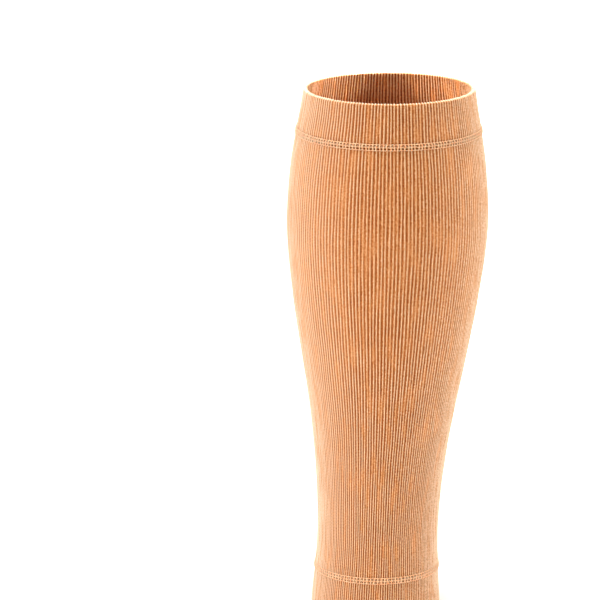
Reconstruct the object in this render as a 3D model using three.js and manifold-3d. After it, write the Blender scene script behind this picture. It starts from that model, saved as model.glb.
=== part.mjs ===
// A knitted calf compression sleeve, standing on its ankle edge as if a leg were in it.
// Millimetres, +Z up. The origin is on the floor below the calf's widest section, -Y is the shin side.
import * as THREE from "three";
import { mergeVertices } from "three/addons/utils/BufferGeometryUtils.js";
import Module from "manifold-3d";

// Heights above the floor
const sleeveHeight = 320;
const calfLevel = 240;
const ankleLevel = 50;
const topBandHeight = 26;
const ankleBandHeight = 24;

// Widths across the ribs' crests, seen from the shin
const topWidth = 103;
const calfWidth = 122;
const ankleWidth = 74;
const hemWidth = 79;

// How far the leg's line strays: the ankle to one side, the calf's muscle to the back
const ankleLean = 6.5;
const calfSetBack = 11;

// Knit: one layer in the tube, two where an edge is turned in
const knitWall = 1.5;
const turnedWall = 1.2;
const layerGap = 0.3;
const seamAllowance = 4;
const ribCount = 168;
const ribDepth = 0.4;

// The turned edges: how far each fold's corners are rounded, up and in
const topFoldRise = 1.8;
const topFoldInset = 1.0;
const hemFoldRise = 1.6;
const hemFoldInset = 0.8;

// Braided cover seams over the joins of tube and bands, flat ribbons a little narrower outside than inside
const braidWidth = 3.6;
const braidCrownWidth = 3;
const braidThickness = 0.6;

// Facets. tubeBends: where the tube's straight facets meet, as shares of the way up from seam to seam
const tubeBends = [0.14, 0.29, 0.61, 0.74, 0.85];
const smoothColumns = 42;
const cutterOverrun = 1;
const weldDistance = 0.001;

const knitColour = 0xeeae80;
const braidColour = 0xf3bd93;
const knitRoughness = 0.95;

const bandWall = knitWall + layerGap + turnedWall;
const topSeamLevel = sleeveHeight - topBandHeight;
const ankleSeamLevel = ankleBandHeight;

const stations = {
  hem: { level: 0, width: hemWidth },
  ankle: { level: ankleLevel, width: ankleWidth },
  calf: { level: calfLevel, width: calfWidth },
  top: { level: sleeveHeight, width: topWidth },
};

// The leg's cross-sections, from the floor up. along: share of the way up from one station to the next.
// swell: share of the way from the lower station's width to the upper's. depth: front to back, as a share
// of the width. lean and forward: shares of ankleLean and calfSetBack.
const sections = [
  { from: "hem", to: "ankle", along: 0, swell: 0, depth: 1.02, lean: 1, forward: 1 },
  { from: "hem", to: "ankle", along: 0.24, swell: 0.36, depth: 1.02, lean: 0.97, forward: 1 },
  { from: "hem", to: "ankle", along: 0.52, swell: 0.76, depth: 1.03, lean: 0.9, forward: 1 },
  { from: "ankle", to: "calf", along: 0, swell: 0, depth: 1.04, lean: 0.8, forward: 1 },
  { from: "ankle", to: "calf", along: 0.18, swell: 0.09, depth: 1.04, lean: 0.64, forward: 0.94 },
  { from: "ankle", to: "calf", along: 0.37, swell: 0.29, depth: 1.04, lean: 0.42, forward: 0.72 },
  { from: "ankle", to: "calf", along: 0.55, swell: 0.55, depth: 1.04, lean: 0.26, forward: 0.4 },
  { from: "ankle", to: "calf", along: 0.74, swell: 0.81, depth: 1.03, lean: 0.14, forward: 0.12 },
  { from: "ankle", to: "calf", along: 0.9, swell: 0.965, depth: 1.03, lean: 0.04, forward: 0 },
  { from: "calf", to: "top", along: 0, swell: 0, depth: 1.03, lean: 0, forward: 0.05 },
  { from: "calf", to: "top", along: 0.37, swell: 0.19, depth: 1.02, lean: -0.03, forward: 0.25 },
  { from: "calf", to: "top", along: 0.68, swell: 0.56, depth: 1.01, lean: -0.06, forward: 0.55 },
  { from: "calf", to: "top", along: 0.82, swell: 0.77, depth: 1, lean: -0.08, forward: 0.72 },
  { from: "calf", to: "top", along: 1, swell: 1, depth: 1, lean: -0.1, forward: 0.9 },
];

const wasm = await Module();
wasm.setup();

// The leg's outline as a smooth run through the sections
const { lerp } = THREE.MathUtils;
const outline = new THREE.CubicInterpolant(
  sections.map((s) => lerp(stations[s.from].level, stations[s.to].level, s.along)),
  sections.flatMap((s) => [
    lerp(stations[s.from].width, stations[s.to].width, s.swell) / 2,
    s.depth,
    -ankleLean * s.lean,
    -calfSetBack * s.forward,
  ]),
  4,
);

function sectionAt(level) {
  const [radius, depth, centreX, centreY] = outline.evaluate(level);
  return { radius, depth, centreX, centreY };
}

// A run of profile points at the given heights, all at one inset from the ribs' crests
function wallRun(levels, inset) {
  return levels.map((level) => ({ level, inset }));
}

// Turns a profile round the leg: a lathe about the upright axis, whose rings then take the leg's outline.
// A ribbed body's odd columns are drawn in by a rib's depth. A smooth body's flats lie at the radius.
function turnedGeometry(profile, ribbed) {
  const columns = ribbed ? 2 * ribCount : smoothColumns;
  const points = profile.map(
    ({ level, inset, onAxis }) =>
      new THREE.Vector2(onAxis ? 0 : sectionAt(level).radius - inset, level),
  );
  const geometry = new THREE.LatheGeometry(points, columns).rotateX(Math.PI / 2);
  const position = geometry.getAttribute("position");
  for (let i = 0; i < position.count; i++) {
    const oddColumn = Math.floor(i / points.length) % 2 === 1;
    const radius = Math.hypot(position.getX(i), position.getY(i));
    const sink = ribbed && oddColumn && radius > ribDepth ? 1 - ribDepth / radius : 1;
    const spread = ribbed ? sink : 1 / Math.cos(Math.PI / columns);
    const section = sectionAt(position.getZ(i));
    position.setX(i, section.centreX + position.getX(i) * spread);
    position.setY(i, section.centreY + position.getY(i) * spread * section.depth);
  }
  return geometry;
}

function solidOf(geometry) {
  geometry.deleteAttribute("normal");
  geometry.deleteAttribute("uv");
  const merged = mergeVertices(geometry, weldDistance);
  return new wasm.Manifold(
    new wasm.Mesh({
      numProp: 3,
      vertProperties: new Float32Array(merged.getAttribute("position").array),
      triVerts: new Uint32Array(merged.index.array),
    }),
  );
}

// A full body of the leg's form between the profile's two ends, which it closes on the axis
function legSolid(profile, ribbed = false) {
  const first = { level: profile[0].level, onAxis: true };
  const last = { level: profile[profile.length - 1].level, onAxis: true };
  return solidOf(turnedGeometry([first, ...profile, last], ribbed));
}

function geometryOf(solid) {
  const { numProp, vertProperties, triVerts } = solid.getMesh();
  const geometry = new THREE.BufferGeometry();
  const interleaved = new THREE.InterleavedBuffer(vertProperties, numProp);
  geometry.setAttribute("position", new THREE.InterleavedBufferAttribute(interleaved, 3, 0));
  geometry.setIndex(new THREE.BufferAttribute(triVerts, 1));
  const plain = geometry.toNonIndexed();
  plain.computeVertexNormals();
  return plain;
}

// One layer of ribbed knit from seam to seam
function calfTube() {
  const low = ankleSeamLevel + layerGap / 2;
  const high = topSeamLevel - layerGap / 2;
  const bends = tubeBends.map((share) => lerp(low, high, share));
  const hollowLevels = [
    low - cutterOverrun,
    ankleSeamLevel + seamAllowance,
    ...bends,
    topSeamLevel - seamAllowance,
    high + cutterOverrun,
  ];
  const knitted = legSolid(wallRun([low, ...bends, high], 0), true);
  return knitted.subtract(legSolid(wallRun(hollowLevels, knitWall)));
}

// The top edge, turned in: its outer layer stands on the seam, its inner layer reaches down behind the tube
function topBand() {
  const shoulder = sleeveHeight - topFoldRise;
  const outer = legSolid(
    [
      { level: topSeamLevel + layerGap / 2, inset: 0 },
      { level: shoulder, inset: 0 },
      { level: sleeveHeight, inset: topFoldInset },
    ],
    true,
  );
  const turnedEnd = topSeamLevel - seamAllowance;
  const turnedLevels = [turnedEnd, topSeamLevel, topSeamLevel + seamAllowance];
  const turnedIn = legSolid(wallRun(turnedLevels, knitWall + layerGap));
  const hollow = legSolid([
    ...wallRun([turnedEnd - cutterOverrun, topSeamLevel, shoulder], bandWall),
    { level: sleeveHeight + topFoldRise, inset: bandWall - 2 * topFoldInset },
  ]);
  return outer.add(turnedIn).subtract(hollow);
}

// The ankle edge, turned in the same way, with a flat foot between its rounded corners
function ankleBand() {
  const outer = legSolid(
    [
      { level: 0, inset: hemFoldInset },
      { level: hemFoldRise, inset: 0 },
      { level: ankleSeamLevel - layerGap / 2, inset: 0 },
    ],
    true,
  );
  const turnedEnd = ankleSeamLevel + seamAllowance;
  const turnedLevels = [ankleSeamLevel - seamAllowance, ankleSeamLevel, turnedEnd];
  const turnedIn = legSolid(wallRun(turnedLevels, knitWall + layerGap));
  const hollow = legSolid([
    { level: -hemFoldRise, inset: bandWall - 2 * hemFoldInset },
    ...wallRun([hemFoldRise, ankleSeamLevel, turnedEnd + cutterOverrun], bandWall),
  ]);
  return outer.add(turnedIn).subtract(hollow);
}

// The cover seam's braid, a flat ring laid round the join
function seamBraid(level) {
  const inside = -layerGap;
  const outside = -layerGap - braidThickness;
  const loop = [
    { level: level - braidWidth / 2, inset: inside },
    { level: level - braidCrownWidth / 2, inset: outside },
    { level: level + braidCrownWidth / 2, inset: outside },
    { level: level + braidWidth / 2, inset: inside },
    { level: level - braidWidth / 2, inset: inside },
  ];
  return solidOf(turnedGeometry(loop, false));
}

const knit = new THREE.MeshStandardMaterial({ color: knitColour, roughness: knitRoughness, metalness: 0 });
const braid = new THREE.MeshStandardMaterial({ color: braidColour, roughness: knitRoughness, metalness: 0 });

const sleeve = new THREE.Group();
function addPiece(name, solid, material) {
  const mesh = new THREE.Mesh(geometryOf(solid), material);
  mesh.name = name;
  sleeve.add(mesh);
}

addPiece("calf_tube", calfTube(), knit);
addPiece("top_band", topBand(), knit);
addPiece("ankle_band", ankleBand(), knit);
addPiece("top_seam_braid", seamBraid(topSeamLevel), braid);
addPiece("ankle_seam_braid", seamBraid(ankleSeamLevel), braid);

export default sleeve;
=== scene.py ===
import math
import bpy
import numpy as np
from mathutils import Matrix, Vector


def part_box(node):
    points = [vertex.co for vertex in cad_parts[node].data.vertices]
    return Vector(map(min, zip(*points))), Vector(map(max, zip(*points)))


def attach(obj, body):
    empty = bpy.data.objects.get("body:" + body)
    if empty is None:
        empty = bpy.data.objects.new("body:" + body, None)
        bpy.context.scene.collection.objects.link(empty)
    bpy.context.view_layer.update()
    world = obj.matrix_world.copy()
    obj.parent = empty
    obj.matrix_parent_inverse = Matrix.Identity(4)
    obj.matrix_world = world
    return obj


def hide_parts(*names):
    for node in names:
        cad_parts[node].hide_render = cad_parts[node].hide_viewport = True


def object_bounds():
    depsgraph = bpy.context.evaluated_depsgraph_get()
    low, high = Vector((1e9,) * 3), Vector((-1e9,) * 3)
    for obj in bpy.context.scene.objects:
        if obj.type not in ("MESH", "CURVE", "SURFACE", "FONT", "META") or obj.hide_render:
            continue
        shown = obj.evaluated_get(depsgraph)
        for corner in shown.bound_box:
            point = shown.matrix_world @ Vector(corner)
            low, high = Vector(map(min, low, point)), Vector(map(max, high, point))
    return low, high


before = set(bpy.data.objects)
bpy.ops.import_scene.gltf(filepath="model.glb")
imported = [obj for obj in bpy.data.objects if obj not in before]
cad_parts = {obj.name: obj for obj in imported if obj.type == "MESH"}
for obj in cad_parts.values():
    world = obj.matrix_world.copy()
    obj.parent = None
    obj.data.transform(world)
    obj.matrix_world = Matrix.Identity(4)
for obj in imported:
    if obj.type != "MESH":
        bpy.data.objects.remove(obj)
cadLow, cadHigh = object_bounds()
mm = 0.001
fullTurn = 2 * math.pi

# The leg that the sleeve is shaped on, seen from the shin side (-Y). Widths are across the ribs' crests.
leg = {
    "height": cadHigh.z,
    "calfLevel": 240 * mm,
    "ankleLevel": 50 * mm,
    "topWidth": 103 * mm,
    "calfWidth": 122 * mm,
    "ankleWidth": 74 * mm,
    "hemWidth": 79 * mm,
    "ankleLean": 6.5 * mm,
    "calfSetBack": 11 * mm,
}

# Sections from the floor up: share of the way up a stretch, share of the way from its lower width to its
# upper, depth as a share of the width, shares of the lean and of the set-back
hemToAnkle = [
    (0, 0, 1.02, 1, 1),
    (0.24, 0.36, 1.02, 0.97, 1),
    (0.52, 0.76, 1.03, 0.9, 1),
]
ankleToCalf = [
    (0, 0, 1.04, 0.8, 1),
    (0.18, 0.09, 1.04, 0.64, 0.94),
    (0.37, 0.29, 1.04, 0.42, 0.72),
    (0.55, 0.55, 1.04, 0.26, 0.4),
    (0.74, 0.81, 1.03, 0.14, 0.12),
    (0.9, 0.965, 1.03, 0.04, 0),
]
calfToTop = [
    (0, 0, 1.03, 0, 0.05),
    (0.37, 0.19, 1.02, -0.03, 0.25),
    (0.68, 0.56, 1.01, -0.06, 0.55),
    (0.82, 0.77, 1, -0.08, 0.72),
    (1, 1, 1, -0.1, 0.9),
]


def legStretch(rows, lowLevel, highLevel, lowWidth, highWidth):
    # each row's level, half width, depth, centre x and centre y
    up, swell, depth, lean, forward = np.array(rows, float).T
    return np.stack([
        lowLevel + up * (highLevel - lowLevel),
        (lowWidth + swell * (highWidth - lowWidth)) / 2,
        depth,
        -leg["ankleLean"] * lean,
        -leg["calfSetBack"] * forward,
    ], axis=1)


legSections = np.concatenate([
    legStretch(hemToAnkle, 0, leg["ankleLevel"], leg["hemWidth"], leg["ankleWidth"]),
    legStretch(ankleToCalf, leg["ankleLevel"], leg["calfLevel"], leg["ankleWidth"], leg["calfWidth"]),
    legStretch(calfToTop, leg["calfLevel"], leg["height"], leg["calfWidth"], leg["topWidth"]),
])


def legAt(level):
    # Half width, depth, centre x and centre y at a level: a cubic through the sections, whose slope at each
    # is the slope between its neighbours. With t the share of the way from the low section to the high one:
    # low x (1 - t)^2 (1 + 2t) + high x t^2 (3 - 2t)
    #     + span x (low slope x t (1 - t)^2 - high slope x t^2 (1 - t))
    levels = legSections[:, 0]
    values = legSections[:, 1:]
    slopes = np.gradient(values, levels, axis=0)
    slopes[1:-1] = (values[2:] - values[:-2]) / (levels[2:] - levels[:-2])[:, None]
    level = np.clip(level, levels[0], levels[-1])
    low = np.clip(np.searchsorted(levels, level, side="right") - 1, 0, len(levels) - 2)
    span = (levels[low + 1] - levels[low])[..., None]
    t = (level - levels[low])[..., None] / span
    return (
        values[low] * (1 - t) ** 2 * (1 + 2 * t)
        + values[low + 1] * t ** 2 * (3 - 2 * t)
        + span * slopes[low] * t * (1 - t) ** 2
        - span * slopes[low + 1] * t ** 2 * (1 - t)
    )


def smoothStep(value):
    # eases from 0 to 1, with v the value: v^2 (3 - 2v)
    value = np.clip(value, 0, 1)
    return value * value * (3 - 2 * value)


# The knit, shared by tube and bands
knit = {
    "ribs": 168,
    "columnsPerRib": 5,
    "ribDepth": 0.75 * mm,
    "crestPower": 1.5,        # above 1 the crests are narrower than the grooves
    "course": 0.95 * mm,      # height of one row of stitches
    "wander": 0.1,            # how far a rib strays sideways, in ribs
    "wanderWaves": (15 * mm, 160 * mm),     # shortest and longest
    "fading": 0.6,            # how much of its height a rib can lose along the way
    "fadingWaves": (18 * mm, 90 * mm),
    "wavesPerRib": 3,
    "uneven": 0.22,           # how much lower some ribs are all the way
    "wall": 1.5 * mm,
    "turnedWall": 1.2 * mm,
    "layerGap": 0.3 * mm,
    "edgeRound": 0.5 * mm,    # of a layer's edge at a seam
    "edgeSteps": 2,
    "edgeRowStep": 1 * mm,
    "middle": 0.5,            # height that faded ribs and grooves share
    "seamPress": 0.25 * mm,   # how far the cover seam presses the knit in
    "seamReach": 1.8 * mm,
    "seamEase": 0.7 * mm,
    "foldFrom": 0.4,          # upright share of the cloth's normal from which it counts as a folded edge
    "foldFull": 0.9,          # and from which it fully does
    "seed": 7,
}
knitColumns = knit["ribs"] * knit["columnsPerRib"]
bandWall = knit["wall"] + knit["layerGap"] + knit["turnedWall"]
topSeam = sum(corner.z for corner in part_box("top_seam_braid")) / 2
ankleSeam = sum(corner.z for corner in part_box("ankle_seam_braid")) / 2


def ribWaves(levels, shortest, longest, seedStep):
    # for each rib a sum of sine waves along the leg, with lengths and phases of its own, about -1 to 1
    random = np.random.default_rng(knit["seed"] + seedStep)
    shape = (knit["wavesPerRib"], 1, knit["ribs"])
    lengths = random.uniform(shortest, longest, shape)
    phases = random.uniform(0, fullTurn, shape)
    waves = np.sin(levels[None, :, None] * fullTurn / lengths + phases).sum(0) / 2
    return betweenRibs(waves)


def betweenRibs(values):
    # one value a rib to one value a column, even steps between two ribs' middles
    column = np.arange(knitColumns) / knit["columnsPerRib"]
    rib = column.astype(int)
    share = column - rib
    return values[..., rib] * (1 - share) + values[..., (rib + 1) % knit["ribs"]] * share


def straight(start, end, step):
    # profile points (level, inset) on a line, the end left out
    start = np.array(start, float)
    end = np.array(end, float)
    count = max(1, round(np.linalg.norm(end - start) / step))
    share = np.arange(count)[:, None] / count
    return start + (end - start) * share


def bend(level, inset, radius, fromTurn, toTurn, steps):
    # profile points on an arc, the end left out; turn 0 is outward, a quarter is up, a half is inward
    turn = (fromTurn + (toTurn - fromTurn) * np.arange(steps) / steps) * fullTurn
    return np.stack([level + radius * np.sin(turn), inset - radius * np.cos(turn)], axis=1)


def meshOf(name, points, faces):
    mesh = bpy.data.meshes.new(name)
    mesh.from_pydata(points.reshape(-1, 3), [], faces)
    mesh.polygons.foreach_set("use_smooth", np.ones(len(mesh.polygons), bool))
    piece = bpy.data.objects.new(name, mesh)
    bpy.context.scene.collection.objects.link(piece)
    return piece


def loopedFaces(rows, columns):
    # quads of a grid whose rows and columns both close on themselves
    index = np.arange(rows * columns).reshape(rows, columns)
    nextColumn = np.roll(index, -1, axis=1)
    nextRow = np.roll(index, -1, axis=0)
    quads = np.stack([index, nextColumn, np.roll(nextColumn, -1, axis=0), nextRow], axis=-1)
    return quads.reshape(-1, 4).tolist()


def aroundLeg(ribs, level, rise):
    # Points at a rib count round the leg, a level and a height over the crests. With a the rib's angle from
    # the shin and r = half width + rise: x = centre x + r sin a, y = centre y - depth x r cos a, z = level.
    ribs, level, rise = np.broadcast_arrays(ribs, level, rise)
    section = legAt(level)
    angle = ribs / knit["ribs"] * fullTurn
    radius = section[..., 0] + rise
    return np.stack([
        section[..., 2] + radius * np.sin(angle),
        section[..., 3] - radius * np.cos(angle) * section[..., 1],
        level,
    ], axis=-1)


def outOfLeg(points):
    # level direction away from the leg's middle line
    out = points.copy()
    out[..., :2] -= legAt(points[..., 2])[..., 2:]
    out[..., 2] = 0
    return out / np.linalg.norm(out, axis=-1, keepdims=True)


def carry(piece, attribute, values):
    piece.data.attributes.new(attribute, "FLOAT", "POINT").data.foreach_set("value", values.ravel())


def carryNormal(piece, normal):
    # the cloth's own normal, as if it had no ribs or threads
    attribute = piece.data.attributes.new("clothNormal", "FLOAT_VECTOR", "POINT")
    attribute.data.foreach_set("vector", normal.ravel())


def knitPiece(name, stretches):
    # A closed profile carried round the leg, from stretches of points, each with its side of the knit (1 is
    # the back) and its relief. Point = section centre + (half width - inset) turned by the rib's angle, then
    # sunk square to the profile by relief x (rib depth x (1 - crest) + seam press). The knit's back has its
    # crests behind the front's grooves.
    profile = np.concatenate([points for points, back, relief in stretches])
    perPoint = [[(0.5 * back, relief)] * len(points) for points, back, relief in stretches]
    back, relief = np.concatenate(perPoint).T[:, :, None]
    levels = profile[:, :1]
    along = np.roll(profile, -1, axis=0) - np.roll(profile, 1, axis=0)
    along /= np.linalg.norm(along, axis=1, keepdims=True)

    ribs = np.arange(knitColumns) / knit["columnsPerRib"]
    random = np.random.default_rng(knit["seed"])
    lower = betweenRibs(random.uniform(0, knit["uneven"], knit["ribs"]))
    fadingWaves = ribWaves(profile[:, 0], *knit["fadingWaves"], seedStep=1)
    fade = 1 - lower - knit["fading"] * np.clip(fadingWaves, 0, 1)
    fromSeam = np.minimum(abs(levels - topSeam), abs(levels - ankleSeam))
    pressed = smoothStep((knit["seamReach"] + knit["seamEase"] - fromSeam) / knit["seamEase"])
    pressed = pressed * (back == 0)
    crest = (0.5 + 0.5 * np.cos(fullTurn * (ribs + back))) ** knit["crestPower"]
    crest = knit["middle"] + (crest - knit["middle"]) * fade
    sunk = relief * (knit["ribDepth"] * (1 - crest) + knit["seamPress"] * pressed)

    strayed = ribs + knit["wander"] * ribWaves(profile[:, 0], *knit["wanderWaves"], seedStep=2)
    points = aroundLeg(strayed, levels, -profile[:, 1:] - sunk * along[:, :1])
    points[..., 2] -= sunk * along[:, 1:]
    shape = points.shape[:2]
    piece = meshOf(name, points, loopedFaces(*shape))

    # UV map in ribs and courses, each rib's stitches at a height of their own
    steps = np.linalg.norm(np.diff(profile, axis=0, append=profile[:1]), axis=1)
    courses = np.concatenate([[0], np.cumsum(steps)])[:, None] / knit["course"]
    shift = random.uniform(0, 1, knit["ribs"] + 1)[np.round(ribs).astype(int)]
    left = np.broadcast_to(ribs + back, shape)
    right = left + 1 / knit["columnsPerRib"]
    low = courses[:-1] + shift
    high = courses[1:] + shift
    corners = np.stack([left, low, right, low, right, high, left, high], axis=-1)
    piece.data.uv_layers.new(name="knit").data.foreach_set("uv", corners.ravel())

    # Normal = step along the row x step along the profile, without relief. It points up where an edge is
    # folded, and towards the leg on the turned-in side.
    cloth = aroundLeg(strayed, levels, -profile[:, 1:])
    across = np.roll(cloth, -1, axis=1) - np.roll(cloth, 1, axis=1)
    onward = np.roll(cloth, -1, axis=0) - np.roll(cloth, 1, axis=0)
    normal = np.cross(across, onward)
    normal /= np.linalg.norm(normal, axis=-1, keepdims=True)
    close = (leg["calfWidth"] - 2 * legAt(levels)[..., 0]) / (leg["calfWidth"] - leg["ankleWidth"])
    outward = (normal * outOfLeg(cloth)).sum(-1)
    carryNormal(piece, normal)
    upright = abs(normal[..., 2])
    folded = smoothStep((upright - knit["foldFrom"]) / (knit["foldFull"] - knit["foldFrom"]))
    carry(piece, "turnedIn", smoothStep(0.5 - outward))
    carry(piece, "folded", folded)
    carry(piece, "ribFade", fade)
    carry(piece, "ribClose", np.broadcast_to(close, shape))
    carry(piece, "seamPressed", np.broadcast_to(pressed, shape))
    return piece


# One tube from seam to seam
tubeShape = {
    "rowStep": 4 * mm,
    "fineStep": 0.75 * mm,
    "innerRowStep": 12 * mm,
    "edgeRelief": 0.5,
    "backRelief": 0.8,
    "layerStep": 0.2 * mm,      # how far the tube stands out over the ankle band's turned-in layer
    "layerReach": 6 * mm,       # how far from the seam that shows
    "layerFade": 2 * mm,
}


def calfTube():
    # The profile goes up the outside, over the top edge, down the inside and round the bottom edge.
    low, high = (corner.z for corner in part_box("calf_tube"))
    edge = knit["edgeRound"]
    wall = knit["wall"]
    fine = tubeShape["fineStep"]
    nearLow = low + tubeShape["layerReach"] + tubeShape["layerFade"]
    nearHigh = high - knit["seamReach"] - knit["seamEase"]
    outside = np.concatenate([
        straight((low + edge, 0), (nearLow, 0), fine),
        straight((nearLow, 0), (nearHigh, 0), tubeShape["rowStep"]),
        straight((nearHigh, 0), (high - edge, 0), fine),
    ])
    over = (low + tubeShape["layerReach"] - outside[:, 0]) / tubeShape["layerFade"] + 0.5
    outside[:, 1] -= tubeShape["layerStep"] * smoothStep(over)
    top = np.concatenate([
        bend(high - edge, edge, edge, 0, 0.25, knit["edgeSteps"]),
        straight((high, edge), (high, wall), knit["edgeRowStep"]),
    ])
    inside = straight((high, wall), (low, wall), tubeShape["innerRowStep"])
    bottom = np.concatenate([
        straight((low, wall), (low, edge), knit["edgeRowStep"]),
        bend(low + edge, edge, edge, -0.25, 0, knit["edgeSteps"]),
    ])
    edgeRelief = tubeShape["edgeRelief"]
    return knitPiece("calfTubeKnit", [
        (outside, 0, 1),
        (top, 0, edgeRelief),
        (inside, 1, tubeShape["backRelief"]),
        (bottom, 0, edgeRelief),
    ])


# The turned edges
bandShape = {
    "rowStep": 1.5 * mm,
    "fineStep": 0.75 * mm,
    "innerRowStep": 2.5 * mm,
    "foldSteps": 12,
    "endSteps": 4,            # round the turned-in layer's end
    "backRelief": 0.3,
}


def topBand():
    # The profile goes up the outside, over the fold, down the turned-in layer, round its end and up its
    # back to the seam, where it runs out along the band's lower edge.
    turnedEnd, top = (corner.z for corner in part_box("top_band"))
    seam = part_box("calf_tube")[1].z + knit["layerGap"]
    edge = knit["edgeRound"]
    fold = bandWall / 2
    behind = knit["wall"] + knit["layerGap"]
    endRound = knit["turnedWall"] / 2
    nearSeam = seam + knit["seamReach"] + knit["seamEase"]
    shown = np.concatenate([
        straight((seam + edge, 0), (nearSeam, 0), bandShape["fineStep"]),
        straight((nearSeam, 0), (top - fold, 0), bandShape["rowStep"]),
        bend(top - fold, fold, fold, 0, 0.5, bandShape["foldSteps"]),
        straight((top - fold, bandWall), (turnedEnd + endRound, bandWall), bandShape["innerRowStep"]),
        bend(turnedEnd + endRound, bandWall - endRound, endRound, 0.5, 1, bandShape["endSteps"]),
    ])
    hidden = np.concatenate([
        straight((turnedEnd + endRound, behind), (seam, behind), bandShape["innerRowStep"]),
        straight((seam, behind), (seam, edge), knit["edgeRowStep"]),
        bend(seam + edge, edge, edge, -0.25, 0, knit["edgeSteps"]),
    ])
    return knitPiece("topBandKnit", [(shown, 0, 1), (hidden, 1, bandShape["backRelief"])])


def ankleBand():
    # The profile goes round the turned-in layer's end, down its inside, under the fold, up the outside to
    # the seam, in along the band's upper edge and up the turned-in layer's back.
    floor, turnedEnd = (corner.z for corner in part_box("ankle_band"))
    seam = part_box("calf_tube")[0].z - knit["layerGap"]
    edge = knit["edgeRound"]
    fold = bandWall / 2
    behind = knit["wall"] + knit["layerGap"]
    endRound = knit["turnedWall"] / 2
    nearSeam = seam - knit["seamReach"] - knit["seamEase"]
    shown = np.concatenate([
        bend(turnedEnd - endRound, bandWall - endRound, endRound, 0, 0.5, bandShape["endSteps"]),
        straight((turnedEnd - endRound, bandWall), (floor + fold, bandWall), bandShape["innerRowStep"]),
        bend(floor + fold, fold, fold, 0.5, 1, bandShape["foldSteps"]),
        straight((floor + fold, 0), (nearSeam, 0), bandShape["rowStep"]),
        straight((nearSeam, 0), (seam - edge, 0), bandShape["fineStep"]),
    ])
    hidden = np.concatenate([
        bend(seam - edge, edge, edge, 0, 0.25, knit["edgeSteps"]),
        straight((seam, edge), (seam, behind), knit["edgeRowStep"]),
        straight((seam, behind), (turnedEnd - endRound, behind), bandShape["innerRowStep"]),
    ])
    return knitPiece("ankleBandKnit", [(shown, 0, 1), (hidden, 1, bandShape["backRelief"])])


# Cover seam: three lines of thread round the leg, and rungs across them from the lowest to the highest
seamShape = {
    "lines": (-1.7 * mm, 0, 1.7 * mm),
    "lineRadius": 0.25 * mm,
    "lineDip": 0.25 * mm,        # how far a line dips between two rungs
    "lineSway": 0.1 * mm,        # how far a line sways up and down, each in its own place
    "topRungs": 168,
    "ankleRungs": 112,
    "rungRadius": 0.36 * mm,
    "rungRise": 0.1 * mm,        # how far a rung's middle stands out
    "rungSink": 0.17 * mm,       # how far the whole rung is drawn into the knit
    "rungLean": 0.2,             # in ribs
    "rungReach": 2.0 * mm,
    "rungDive": 8,               # the higher, the nearer its ends a rung turns down into the knit
    "rungTaper": 0.6,            # how much thinner its ends are
    "stray": 0.15,               # unevenness, in ribs
    "around": 8,
    "stepsPerRib": 6,
    "rungSteps": 10,
    "seed": 21,
}


def threadTubes(paths, radii, closed):
    # Tubes along many paths at once. Point = path + radius x (cos a x across + sin a x out), a going round.
    # Out points away from the leg's middle line, and across is square to path and out.
    ahead = np.roll(paths, -1, axis=1) - np.roll(paths, 1, axis=1)
    if not closed:
        ahead[:, 0] = paths[:, 1] - paths[:, 0]
        ahead[:, -1] = paths[:, -1] - paths[:, -2]
    ahead /= np.linalg.norm(ahead, axis=-1, keepdims=True)
    out = outOfLeg(paths)
    out -= ahead * (out * ahead).sum(-1, keepdims=True)
    out /= np.linalg.norm(out, axis=-1, keepdims=True)
    across = np.cross(out, ahead)
    turn = np.arange(seamShape["around"])[:, None] / seamShape["around"] * fullTurn
    ring = np.cos(turn) * across[:, :, None] + np.sin(turn) * out[:, :, None]
    points = paths[:, :, None] + radii[:, None, None] * ring
    index = np.arange(points.size // 3).reshape(points.shape[:3])
    ends = [] if closed else index[:, 0, ::-1].tolist() + index[:, -1].tolist()
    nextAlong = np.roll(index, -1, axis=1)
    if not closed:
        index = index[:, :-1]
        nextAlong = nextAlong[:, :-1]
    quads = np.stack([index, np.roll(index, -1, axis=2), np.roll(nextAlong, -1, axis=2), nextAlong], axis=-1)
    return points.reshape(-1, 3), quads.reshape(-1, 4).tolist() + ends


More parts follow.
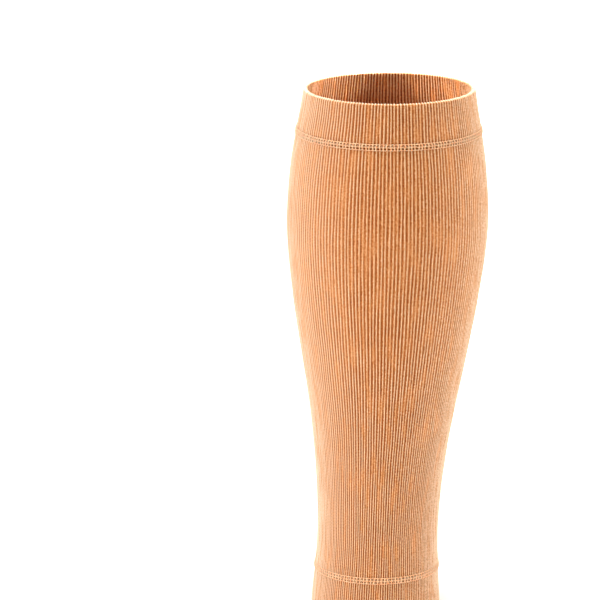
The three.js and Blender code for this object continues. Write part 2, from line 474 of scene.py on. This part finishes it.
def coverSeam(name, seam, rungs):
    # A line of thread lies at level = seam + its offset + sway x sine, one wave to a rib, and its rise over
    # the crests = thread radius - dip x (1 - cosine) / 2, one wave to a rung. With s from -1 to 1 along it,
    # a rung lies at level = seam + reach x s, and its rise = hump x (1 - s^2) + rung radius x (1 - 2 s^dive)
    # - sink.
    random = np.random.default_rng(seamShape["seed"])
    ribs = np.arange(knit["ribs"] * seamShape["stepsPerRib"]) / seamShape["stepsPerRib"]
    lines = np.array(seamShape["lines"])[:, None]
    sway = seamShape["lineSway"] * np.sin(fullTurn * (ribs + lines / mm))
    dip = seamShape["lineDip"] * (0.5 - 0.5 * np.cos(fullTurn * ribs * rungs / knit["ribs"]))
    linePaths = aroundLeg(ribs, seam + lines + sway, seamShape["lineRadius"] - dip)
    lineRadii = np.full(len(ribs), seamShape["lineRadius"])
    linePoints, lineFaces = threadTubes(linePaths, lineRadii, True)

    share = np.linspace(-1, 1, seamShape["rungSteps"])
    stray = seamShape["stray"] * random.uniform(-1, 1, (rungs, 1))
    lean = seamShape["rungLean"] * random.uniform(-1, 1, (rungs, 1))
    rungRibs = np.arange(rungs)[:, None] * knit["ribs"] / rungs + stray + lean * share
    dive = share ** seamShape["rungDive"]
    rungRise = seamShape["rungRise"] * (1 - share ** 2) + seamShape["rungRadius"] * (1 - 2 * dive)
    rungLevels = seam + share * seamShape["rungReach"]
    rungPaths = aroundLeg(rungRibs, rungLevels, rungRise - seamShape["rungSink"])
    rungRadii = seamShape["rungRadius"] * (1 - seamShape["rungTaper"] * dive)
    rungPoints, rungFaces = threadTubes(rungPaths, rungRadii, False)
    rungFaces = [[corner + len(linePoints) for corner in face] for face in rungFaces]
    points = np.concatenate([linePoints, rungPoints])
    piece = meshOf(name, points, lineFaces + rungFaces)
    carryNormal(piece, outOfLeg(points))
    return piece


class Socket:
    # one output in a material's node tree; sums and products of Sockets and numbers add Math nodes
    def __init__(self, tree, output=None):
        self.tree = tree
        self.output = output

    def node(self, kind, settings=None, inputs=None, output=0):
        made = self.tree.nodes.new(kind)
        for name, setting in (settings or {}).items():
            if name == "stops":
                self.setStops(made.color_ramp.elements, setting)
            else:
                setattr(made, name, setting)
        for name, value in (inputs or {}).items():
            if isinstance(value, Socket):
                self.tree.links.new(value.output, made.inputs[name])
            else:
                made.inputs[name].default_value = value
        return Socket(self.tree, made.outputs[output])

    def setStops(self, elements, stops):
        while len(elements) < len(stops):
            elements.new(1)
        for element, (place, colour) in zip(elements, stops):
            element.position = place
            element.color = colour

    def sibling(self, output):
        # another output of the same node
        return Socket(self.tree, self.output.node.outputs[output])

    def carried(self, attribute):
        # a number that the mesh's points carry
        return self.node("ShaderNodeAttribute", {"attribute_name": attribute}, None, "Fac")

    def maths(self, operation, *values):
        return self.node("ShaderNodeMath", {"operation": operation}, dict(enumerate(values)))

    def __add__(self, other):
        return self.maths("ADD", self, other)

    def __sub__(self, other):
        return self.maths("SUBTRACT", self, other)

    def __rsub__(self, other):
        return self.maths("SUBTRACT", other, self)

    def __mul__(self, other):
        return self.maths("MULTIPLY", self, other)

    def __pow__(self, other):
        return self.maths("POWER", self, other)

    __radd__ = __add__
    __rmul__ = __mul__

    def peaks(self):
        # 1 at whole numbers, 0 halfway between them
        return self.maths("COSINE", self * fullTurn) * 0.5 + 0.5


def srgb(red, green, blue):
    # screen colour 0-255 to a linear colour with alpha
    screen = np.array([red, green, blue]) / 255
    return tuple(np.where(screen > 0.04045, ((screen + 0.055) / 1.055) ** 2.4, screen / 12.92)) + (1.0,)


def newMaterial(name, settings):
    material = bpy.data.materials.new(name)
    material.use_nodes = True
    shader = material.node_tree.nodes["Principled BSDF"]
    for socket, value in settings.items():
        shader.inputs[socket].default_value = value
    return material, shader, Socket(material.node_tree)


# Painted sheen over knit and thread: a pale haze where the cloth is seen along its outer face, for the light
# its loose fibres catch
paintedSheen = {
    "share": 0.72,
    "power": 1.1,
    "mostFacing": 0.62,       # beyond this slant the painted sheen gets no stronger
    "paintedFoldHighlight": 0.42,        # painted highlight: how much more of the pale colour lies along a folded edge
    "stops": [                # from groove to crest
        (0, srgb(240, 170, 110)),
        (0.9, srgb(250, 232, 210)),
    ],
    "onThread": srgb(252, 220, 188),
    "shader": {
        "Roughness": 1.0,
        "Specular IOR Level": 0.03,
    },
}


def layPaintedSheen(start, colour):
    # Lays a second, pale cloth shader over the main one as painted sheen. Its share = the cloth's slant to
    # the view, to a power, on the outer face alone, and a little more along folded edges as a painted
    # highlight.
    tree = start.tree
    shader = Socket(tree, tree.nodes["Principled BSDF"].outputs[0])
    normal = start.node("ShaderNodeAttribute", {"attribute_name": "clothNormal"}, None, "Vector")
    cloth = {**paintedSheen["shader"], "Base Color": colour, "Normal": normal}
    # the second shader's pale colour is painted sheen
    fibres = start.node("ShaderNodeBsdfPrincipled", None, cloth)
    facing = start.node("ShaderNodeLayerWeight", None, {"Blend": 0.5, "Normal": normal}, "Facing")
    facing = start.maths("MINIMUM", facing, paintedSheen["mostFacing"])
    folded = start.carried("folded")
    turnedIn = start.carried("turnedIn")
    # folded edges get more of the pale colour: a painted highlight
    share = facing ** paintedSheen["power"] * paintedSheen["share"] * (1 - turnedIn) + folded * paintedSheen["paintedFoldHighlight"]
    mixed = start.node("ShaderNodeMixShader", None, {0: share, 1: shader, 2: fibres})
    tree.links.new(mixed.output, tree.nodes["Material Output"].inputs["Surface"])


knitLook = {
    # tone to colour, from the painted shade deep in the grooves to the light crests
    "stops": [
        (0, srgb(124, 56, 18)),
        (0.35, srgb(190, 110, 56)),
        (0.7, srgb(232, 168, 112)),
        (1, srgb(243, 204, 162)),
    ],
    "crestPower": 1.9,
    "seamShade": 0.42,        # painted shade on the knit under and between the cover seam's threads
    "seamEdge": 4,            # the higher, the nearer the seam the painted shade reaches the crests
    "ribWobble": 0.22,        # how far the specks push a crest sideways, in ribs
    "stitchSlant": 1.3,       # how steeply a stitch's two legs rise from the rib's middle
    # painted shade in the gaps between a crest's stitches
    "stitchShade": 0.22,
    "grooveBar": 0.42,        # how light the threads that cross a groove are; between them the groove's holes are painted dark as shade
    "specks": {"Scale": 950, "Detail": 1},
    "speckShade": 0.65,
    "fuzz": {"Scale": 2400, "Detail": 3},
    "fuzzShade": 0.65,
    "clouds": {"Scale": 60, "Detail": 3},
    "cloudShade": 0.16,
    "contrast": 1.15,
    "closeGain": 1.1,         # how much more light and dark differ where the ribs lie close: deeper painted shade in the narrower grooves
    "stitchHeight": 0.4,      # how much of a crest's height is its stitches'
    "barHeight": 0.3,
    "fuzzHeight": 0.4,
    "bump": 0.55,
    "bumpDepth": 0.3 * mm,
    "shader": {
        "Roughness": 0.9,
        "Specular IOR Level": 0.03,
    },
}


def knitMaterial():
    look = knitLook
    material, shader, start = newMaterial("apricotRibKnit", look["shader"])
    uv = start.node("ShaderNodeUVMap", {"uv_map": "knit"})
    ribs = start.node("ShaderNodeSeparateXYZ", None, {0: uv})
    courses = ribs.sibling(1)
    place = start.node("ShaderNodeTexCoord", None, None, "Object")

    def noise(settings):
        return start.node("ShaderNodeTexNoise", None, {"Vector": place, **settings}) - 0.5

    specks = noise(look["specks"])
    fuzz = noise(look["fuzz"])
    clouds = noise(look["clouds"])
    fade = start.carried("ribFade")
    crest = (ribs + specks * look["ribWobble"]).peaks() ** look["crestPower"]
    aside = start.maths("ABSOLUTE", start.maths("FRACT", ribs + 0.5) - 0.5)
    stitch = (courses + aside * look["stitchSlant"]).peaks()    # V-shaped loops up each rib
    bar = courses.peaks()                                        # threads that cross a groove
    inGroove = 1 - crest

    stitched = (1 - look["stitchHeight"]) + look["stitchHeight"] * stitch
    height = crest * stitched + inGroove * bar * look["barHeight"] + fuzz * look["fuzzHeight"]
    # Crests light, the grooves and the holes between their crossing threads dark: painted shade in the
    # knit's hollows, over the relief's own shading
    tone = crest * (1 - look["stitchShade"] * (1 - stitch)) + inGroove * bar * look["grooveBar"]
    # painted shade in the grooves grows with this gain
    gain = fade * (look["contrast"] + look["closeGain"] * start.carried("ribClose"))
    tone = (tone - knit["middle"]) * gain + knit["middle"]
    pressed = start.carried("seamPressed")
    # painted shade on the knit under the cover seam: in its grooves, and on the crests nearest the threads
    tone = tone - (inGroove * pressed + crest * pressed ** look["seamEdge"]) * look["seamShade"]
    tone = tone + specks * look["speckShade"] + fuzz * look["fuzzShade"] + clouds * look["cloudShade"]
    colour = start.node("ShaderNodeValToRGB", {"stops": look["stops"]}, {0: tone})
    bump = start.node(
        "ShaderNodeBump", None, {"Strength": look["bump"], "Distance": look["bumpDepth"], "Height": height}
    )
    start.tree.links.new(colour.output, shader.inputs["Base Color"])
    start.tree.links.new(bump.output, shader.inputs["Normal"])
    # painted sheen over the knit, paler on the crests
    layPaintedSheen(start, start.node("ShaderNodeValToRGB", {"stops": paintedSheen["stops"]}, {0: crest}))
    return material


threadLook = {
    "stops": [(0.35, srgb(255, 168, 110)), (0.6, srgb(255, 217, 171))],
    "fibres": {"Scale": 1100, "Detail": 3},
    "bump": 0.4,
    "bumpDepth": 0.1 * mm,
    "shader": {
        "Roughness": 0.8,
        "Specular IOR Level": 0.1,
    },
}


def threadMaterial():
    material, shader, start = newMaterial("apricotSeamThread", threadLook["shader"])
    place = start.node("ShaderNodeTexCoord", None, None, "Object")
    fibres = start.node("ShaderNodeTexNoise", None, {"Vector": place, **threadLook["fibres"]})
    colour = start.node("ShaderNodeValToRGB", {"stops": threadLook["stops"]}, {0: fibres})
    bump = start.node(
        "ShaderNodeBump",
        None,
        {"Strength": threadLook["bump"], "Distance": threadLook["bumpDepth"], "Height": fibres},
    )
    start.tree.links.new(colour.output, shader.inputs["Base Color"])
    start.tree.links.new(bump.output, shader.inputs["Normal"])
    # painted sheen over the thread
    layPaintedSheen(start, paintedSheen["onThread"])
    return material


def finishPiece(piece, material, node):
    piece.data.materials.append(material)
    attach(piece, "root")
    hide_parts(node)


knitCloth = knitMaterial()
seamThread = threadMaterial()
finishPiece(calfTube(), knitCloth, "calf_tube")
print("tube done")
finishPiece(topBand(), knitCloth, "top_band")
finishPiece(ankleBand(), knitCloth, "ankle_band")
print("bands done")
topCoverSeam = coverSeam("topCoverSeam", topSeam, seamShape["topRungs"])
finishPiece(topCoverSeam, seamThread, "top_seam_braid")
ankleCoverSeam = coverSeam("ankleCoverSeam", ankleSeam, seamShape["ankleRungs"])
finishPiece(ankleCoverSeam, seamThread, "ankle_seam_braid")
print("seams done")


studio = {
    "floorSize": 12.0,
    "floor": {"Base Color": srgb(250, 250, 250), "Roughness": 0.8},
    "world": (1.0, 1.0, 1.0, 1.0),
    "worldStrength": 0.1,
    "openSpread": 180,
}

# Each lamp's place, what it points at, width and height and power in watts, and where it has one its spread
# in degrees or its tint. The mouth lamps stand in for light that comes through the knit to the inside.
lamps = {
    "keyLeft": {
        "at": (-1.75, -0.55, 1.8),
        "aim": (0, 0, 0.17),
        "size": (1.2, 1.6),
        "power": 39,
        "tint": (0.95, 1.0, 1.08),
    },
    "edgeRight": {
        "at": (1.95, 0.1, 1.6),
        "aim": (0, 0, 0.17),
        "size": (1.0, 1.6),
        "power": 37,
        "tint": (1.0, 0.95, 0.86),
    },
    "fillFront": {
        "at": (-0.6, -3.0, 0.95),
        "aim": (0, 0, 0.25),
        "size": (1.2, 1.0),
        "power": 24.5,
    },
    "overhead": {
        "at": (-0.2, -0.8, 2.4),
        "aim": (0, 0, 0.32),
        "size": (1.2, 1.2),
        "power": 19,
    },
    "mouthLeft": {
        "at": (-0.75, -0.03, 0.92),
        "aim": (0.04, 0.03, 0.305),
        "size": (0.04, 0.04),
        "power": 0.026,
        "spread": 6,
    },
    "mouthRight": {
        "at": (0.75, -0.03, 0.92),
        "aim": (-0.04, 0.03, 0.305),
        "size": (0.04, 0.04),
        "power": 0.038,
        "spread": 6,
    },
    "overBackdrop": {
        "at": (0, 1.25, 2.2),
        "aim": (0, 1.25, 0),
        "size": (1.6, 2.4),
        "power": 30,
        "spread": 45,
    },
}


def aimed(thing, place, target):
    thing.location = place
    away = thing.location - Vector(target)
    thing.rotation_euler = away.to_track_quat("Z", "Y").to_euler()


def addLamp(name, lamp):
    light = bpy.data.lights.new(name, "AREA")
    light.shape = "RECTANGLE"
    light.size, light.size_y = lamp["size"]
    light.energy = lamp["power"]
    light.color = lamp.get("tint", (1, 1, 1))
    light.spread = math.radians(lamp.get("spread", studio["openSpread"]))
    thing = bpy.data.objects.new(name, light)
    bpy.context.scene.collection.objects.link(thing)
    aimed(thing, lamp["at"], lamp["aim"])


def addFloor():
    half = studio["floorSize"] / 2
    corners = np.array([(-half, -half, 0), (half, -half, 0), (half, half, 0), (-half, half, 0)])
    floor = meshOf("studioFloor", corners, [[0, 1, 2, 3]])
    floor.data.materials.append(newMaterial("paleFloor", studio["floor"])[0])


def addWorld():
    world = bpy.data.worlds.new("paleStudio")
    world.use_nodes = True
    background = world.node_tree.nodes["Background"]
    background.inputs["Color"].default_value = studio["world"]
    background.inputs["Strength"].default_value = studio["worldStrength"]
    bpy.context.scene.world = world


addFloor()
addWorld()
for name, lamp in lamps.items():
    addLamp(name, lamp)
print("studio done")

# A long lens from in front and a little above, as the photograph was framed
view = {
    "place": (-52.8 * mm, -2511 * mm, 805 * mm),
    "down": 13.83,
    "focal": 255.84,
    "sensor": 36,
    "reach": 50,
}
camera = bpy.data.objects.new("camera", bpy.data.cameras.new("camera"))
bpy.context.scene.collection.objects.link(camera)
camera.location = view["place"]
camera.rotation_euler = (math.radians(90 - view["down"]), 0, 0)
camera.data.lens = view["focal"]
camera.data.sensor_width = view["sensor"]
camera.data.clip_end = view["reach"]
bpy.context.scene.camera = camera
bpy.context.scene.view_settings.view_transform = "Standard"
